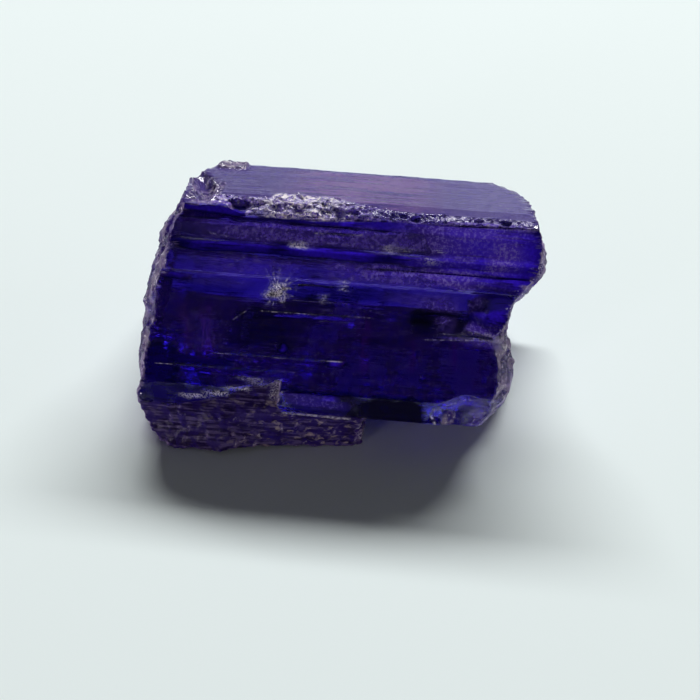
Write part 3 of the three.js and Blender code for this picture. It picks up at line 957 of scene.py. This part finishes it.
back = Vector((math.sin(AZIMUTH) * math.cos(ELEVATION),
               -math.cos(AZIMUTH) * math.cos(ELEVATION), math.sin(ELEVATION)))
level = Vector((math.cos(AZIMUTH), math.sin(AZIMUTH), 0))
steep = level.cross(-back)
right = level * math.cos(ROLL) + steep * math.sin(ROLL)
above = steep * math.cos(ROLL) - level * math.sin(ROLL)
focal = LENS / SENSOR * PICTURE
offset = (-back + right * ((FOOT_SHOWS_AT[0] - PICTURE / 2) / focal)
          - above * ((FOOT_SHOWS_AT[1] - PICTURE / 2) / focal))

lens = bpy.data.cameras.new("camera")
lens.lens, lens.sensor_width = LENS, SENSOR
lens.clip_start, lens.clip_end = NEAR, FAR
camera = bpy.data.objects.new("camera", lens)
scene.collection.objects.link(camera)
camera.matrix_world = (Matrix.Translation(on_face(0, 0) - offset * STAND_OFF)
                       @ Matrix((right, above, back)).transposed().to_4x4())
scene.camera = camera
print("camera at", [round(value / MM, 1) for value in camera.matrix_world.translation], "mm")

# %% [markdown]
# ## Floor and light
#
# The stone stands on a pale sheet. One wide soft light from behind and above leaves a
# shadow in front with soft borders, and makes the top face shine. A low weak lamp in front,
# a little violet, reaches the main face and the block, and a weak one at the right lifts the
# broken end. The room in front of the stone is dim, so that the clear face mirrors nothing
# and shows the depth behind it. A picture of a real room would put windows into the face.

# %% Lay the floor
SHEET_SIZE = 900 * MM

sheet = bmesh.new()
bmesh.ops.create_grid(sheet, x_segments=1, y_segments=1, size=SHEET_SIZE / 2)
floor_mesh = bpy.data.meshes.new("floor")
sheet.to_mesh(floor_mesh)
sheet.free()
floor = bpy.data.objects.new("floor", floor_mesh)
scene.collection.objects.link(floor)
paper, paper_end, paper_spot = start_material("pale sheet")
paper_finish = paper_spot.node("BsdfPrincipled", {}, {
    "Base Color": (0.79, 0.87, 0.86, 1), "Roughness": 0.8, "Specular IOR Level": 0.2,
})
paper.node_tree.links.new(paper_finish.socket, paper_end.inputs["Surface"])
floor_mesh.materials.append(paper)
print("floor", floor_mesh.name)


# %% Light it
def softbox(name, place, width, height, power, colour=(1, 1, 1)):
    """A flat light at a place given in millimetres, turned to the stone."""
    lamp = bpy.data.lights.new(name, "AREA")
    lamp.shape, lamp.energy, lamp.color = "RECTANGLE", power, colour
    lamp.size, lamp.size_y = width * MM, height * MM
    box = bpy.data.objects.new(name, lamp)
    scene.collection.objects.link(box)
    at = Vector(place) * MM
    box.matrix_world = Matrix.Translation(at) @ at.to_track_quat("Z", "Y").to_matrix().to_4x4()
    print(name, "at", place, "mm")


softbox("key softbox", (30, 530, 460), 760, 100, 7.90)
softbox("low front lamp", (-190, -300, 16), 60, 28, 0.41, (0.97, 0.84, 1.0))
softbox("right lamp", (420, -20, 60), 160, 100, 0.22)

# %% Make the dim room
HORIZON, OVERHEAD, BEHIND = 0.30, 0.05, 0.04     # how bright the room is there
DARK_ROOM, BRIGHT_ROOM = (0.004, 0.004, 0.005, 1), (0.95, 0.98, 1.0, 1)

room = bpy.data.worlds.new("room")
room.use_nodes = True
room.node_tree.nodes.clear()
room_end = room.node_tree.nodes.new("ShaderNodeOutputWorld")
direction = Wire(room.node_tree.nodes.new("ShaderNodeTexCoord").outputs["Generated"])
toward_back = direction.node("SeparateXYZ", {}, {0: direction}, output=1)
skyward = direction.node("SeparateXYZ", {}, {0: direction}, output=2)
horizon = toward_back.rise(0.2, 0.9) * (1 - skyward.rise(0.10, 0.45))
bright = (HORIZON * horizon).most(OVERHEAD * skyward.rise(0.55, 0.95))
bright = bright.most(BEHIND * toward_back.rise(-0.2, 0.5))
room_light = direction.node("Background", {}, {
    "Color": bright.blend(DARK_ROOM, BRIGHT_ROOM), "Strength": 1.0,
})
room.node_tree.links.new(room_light.socket, room_end.inputs["Surface"])
scene.world = room
scene.view_settings.view_transform = "Standard"
print("world", room.name, "with", len(room.node_tree.nodes), "nodes")

# %% [markdown]
# ## Done
#
